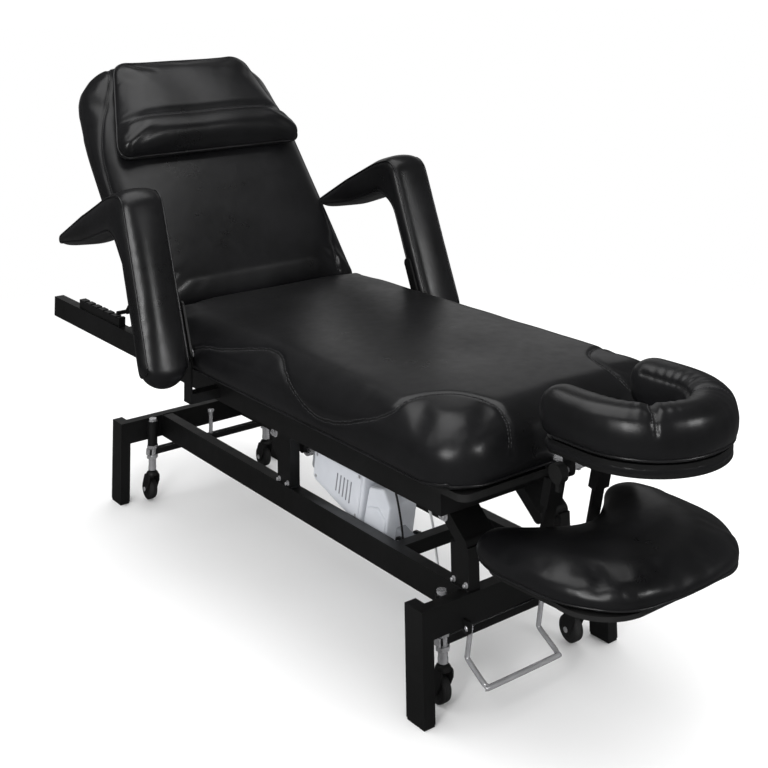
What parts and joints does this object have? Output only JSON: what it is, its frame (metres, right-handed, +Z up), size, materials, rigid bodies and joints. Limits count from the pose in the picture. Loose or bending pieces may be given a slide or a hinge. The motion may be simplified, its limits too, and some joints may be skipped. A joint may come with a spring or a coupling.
{
  "type": "facial treatment bed",
  "caption": "Padded treatment couch on a powered lifting frame, with a reclining backrest, swing-back armrests, a face cradle and a kidney-shaped arm shelf.",
  "frame": {"origin": "floor level, below the middle of the bed's overall length and width", "axes": "+Z up, +Y along the bed from the face cradle to the backrest, +X across the bed; the left side is -X"},
  "size_m": [0.876, 2.085, 1.0809],
  "materials": {
    "black_vinyl": "satin upholstery vinyl with a fine grain",
    "black_steel": "black powder coat, semi-matt",
    "chrome": "bright plated",
    "grey_plastic": "light grey moulded housing",
    "black_plastic": "black moulded plastic",
    "painted_board": "plywood painted black",
    "white_cable": "white cable sheath"
  },
  "bodies": {
    "base": {"base_frame": "black_steel", "leg_glides": "black_plastic", "column_bolts": "chrome", "lower_pivot_pins": "chrome", "actuator_foot_pin": "chrome"},
    "rear_arm": {"rear_lift_arm": "black_steel"},
    "front_arm": {"front_lift_arm": "black_steel"},
    "upper": {"bed_frame": "black_steel", "rail_end_caps": "black_plastic", "upper_pivot_pins": "chrome", "prop_racks": "black_steel", "seat_board": "painted_board", "seat_cushion": "black_vinyl", "backrest_hinge_pins": "chrome", "cradle_sockets": "black_steel", "arm_shelf_hangers": "black_steel", "armrest_bolt_left": "chrome", "armrest_bolt_right": "chrome"},
    "actuator": {"actuator_motor": "grey_plastic", "control_box": "grey_plastic", "actuator_tube": "chrome", "actuator_cable": "white_cable"},
    "ram": {"actuator_rod": "chrome"},
    "backrest": {"backrest_board": "painted_board", "backrest_cushion": "black_vinyl"},
    "pillow": {"head_pillow": "black_vinyl"},
    "prop": {"backrest_prop": "black_steel"},
    "armrest_left": {"armrest_pad_left": "black_vinyl", "armrest_plate_left": "black_steel"},
    "armrest_right": {"armrest_pad_right": "black_vinyl", "armrest_plate_right": "black_steel"},
    "cradle_carriage": {"cradle_rods": "chrome"},
    "cradle": {"cradle_platform": "black_steel", "cradle_cushion": "black_vinyl"},
    "clamp_knob": {"cradle_clamp_knob": "black_plastic"},
    "shelf": {"arm_shelf_bars": "black_steel", "arm_shelf_board": "painted_board", "arm_shelf_pad": "black_vinyl"},
    "front_casters": {"front_caster_bar": "chrome"},
    "rear_casters": {"rear_caster_bar": "chrome"},
    "pedal": {"foot_pedal": "chrome"},
    "fork_front_left": {"caster_fork_front_left": "black_plastic"},
    "wheel_front_left": {"caster_wheel_front_left": "black_plastic"},
    "fork_front_right": {"caster_fork_front_right": "black_plastic"},
    "wheel_front_right": {"caster_wheel_front_right": "black_plastic"},
    "fork_rear_left": {"caster_fork_rear_left": "black_plastic"},
    "wheel_rear_left": {"caster_wheel_rear_left": "black_plastic"},
    "fork_rear_right": {"caster_fork_rear_right": "black_plastic"},
    "wheel_rear_right": {"caster_wheel_rear_right": "black_plastic"}
  },
  "joints": [
    {"name": "lift", "type": "hinge", "parent": "base", "child": "rear_arm", "pos_m": [0, 0.0415, 0.375], "axis": [1, 0, 0], "range_deg": [0, 55]},
    {"name": "lift_level", "type": "hinge", "parent": "rear_arm", "child": "upper", "pos_m": [0, 0.3715, 0.375], "axis": [1, 0, 0], "range_deg": [-55, 0]},
    {"name": "lift_front", "type": "hinge", "parent": "base", "child": "front_arm", "pos_m": [0, -0.4135, 0.375], "axis": [1, 0, 0], "range_deg": [0, 55]},
    {"name": "actuator_tilt", "type": "hinge", "parent": "base", "child": "actuator", "pos_m": [-0.06, -0.309, 0.172], "axis": [1, 0, 0], "range_deg": [0, 5]},
    {"name": "actuator_extend", "type": "slide", "parent": "actuator", "child": "ram", "axis": [0, 0.9731, 0.2304], "range_m": [0, 0.12]},
    {"name": "backrest_recline", "type": "hinge", "parent": "upper", "child": "backrest", "pos_m": [0, 0.3865, 0.445], "axis": [1, 0, 0], "range_deg": [-48, 0]},
    {"name": "prop_fold", "type": "hinge", "parent": "backrest", "child": "prop", "pos_m": [0, 0.52478, 0.58961], "axis": [1, 0, 0], "range_deg": [0, 96]},
    {"name": "pillow_height", "type": "slide", "parent": "backrest", "child": "pillow", "axis": [0, 0.6691, 0.7431], "range_m": [-0.12, 0]},
    {"name": "armrest_left_swing", "type": "hinge", "parent": "upper", "child": "armrest_left", "pos_m": [-0.312, 0.1395, 0.47], "axis": [1, 0, 0], "range_deg": [-60, 0]},
    {"name": "armrest_right_swing", "type": "hinge", "parent": "upper", "child": "armrest_right", "pos_m": [0.312, 0.1395, 0.47], "axis": [1, 0, 0], "range_deg": [-60, 0]},
    {"name": "cradle_reach", "type": "slide", "parent": "upper", "child": "cradle_carriage", "axis": [0, -1, 0], "range_m": [0, 0.08]},
    {"name": "cradle_tilt", "type": "hinge", "parent": "cradle_carriage", "child": "cradle", "pos_m": [0, -0.7915, 0.447], "axis": [1, 0, 0], "range_deg": [-5, 25]},
    {"name": "cradle_clamp", "type": "hinge", "parent": "cradle_carriage", "child": "clamp_knob", "pos_m": [-0.108, -0.7915, 0.447], "axis": [1, 0, 0], "range_deg": [-20, 40]},
    {"name": "shelf_height", "type": "slide", "parent": "upper", "child": "shelf", "axis": [0, -0.2756, 0.9613], "range_m": [-0.025, 0]},
    {"name": "pedal_press", "type": "hinge", "parent": "base", "child": "pedal", "pos_m": [-0.05, -0.5865, 0.139], "axis": [1, 0, 0], "range_deg": [0, 25]},
    {"name": "front_caster_drop", "type": "slide", "parent": "base", "child": "front_casters", "axis": [0, 0, 1], "range_m": [-0.022, 0]},
    {"name": "rear_caster_drop", "type": "slide", "parent": "base", "child": "rear_casters", "axis": [0, 0, 1], "range_m": [-0.022, 0]},
    {"name": "swivel_front_left", "type": "hinge", "parent": "front_casters", "child": "fork_front_left", "pos_m": [-0.165, -0.5405, 0.06], "axis": [0, 0, 1], "continuous": true},
    {"name": "roll_front_left", "type": "hinge", "parent": "fork_front_left", "child": "wheel_front_left", "pos_m": [-0.165, -0.5285, 0.0265], "axis": [1, 0, 0], "continuous": true},
    {"name": "swivel_front_right", "type": "hinge", "parent": "front_casters", "child": "fork_front_right", "pos_m": [0.165, -0.5405, 0.06], "axis": [0, 0, 1], "continuous": true},
    {"name": "roll_front_right", "type": "hinge", "parent": "fork_front_right", "child": "wheel_front_right", "pos_m": [0.165, -0.5285, 0.0265], "axis": [1, 0, 0], "continuous": true},
    {"name": "swivel_rear_left", "type": "hinge", "parent": "rear_casters", "child": "fork_rear_left", "pos_m": [-0.165, 0.5915, 0.06], "axis": [0, 0, 1], "continuous": true},
    {"name": "roll_rear_left", "type": "hinge", "parent": "fork_rear_left", "child": "wheel_rear_left", "pos_m": [-0.165, 0.6035, 0.0265], "axis": [1, 0, 0], "continuous": true},
    {"name": "swivel_rear_right", "type": "hinge", "parent": "rear_casters", "child": "fork_rear_right", "pos_m": [0.165, 0.5915, 0.06], "axis": [0, 0, 1], "continuous": true},
    {"name": "roll_rear_right", "type": "hinge", "parent": "fork_rear_right", "child": "wheel_rear_right", "pos_m": [0.165, 0.6035, 0.0265], "axis": [1, 0, 0], "continuous": true}
  ],
  "couplings": [
    {"joint": "lift_level", "follows": "lift", "ratio": -1},
    {"joint": "lift_front", "follows": "lift", "ratio": 1},
    {"joint": "actuator_tilt", "follows": "lift", "ratio": 0.0419},
    {"joint": "actuator_extend", "follows": "lift", "m_per_rad": 0.1147},
    {"joint": "prop_fold", "follows": "backrest_recline", "ratio": -2},
    {"joint": "front_caster_drop", "follows": "pedal_press", "m_per_rad": -0.0503}
  ]
}
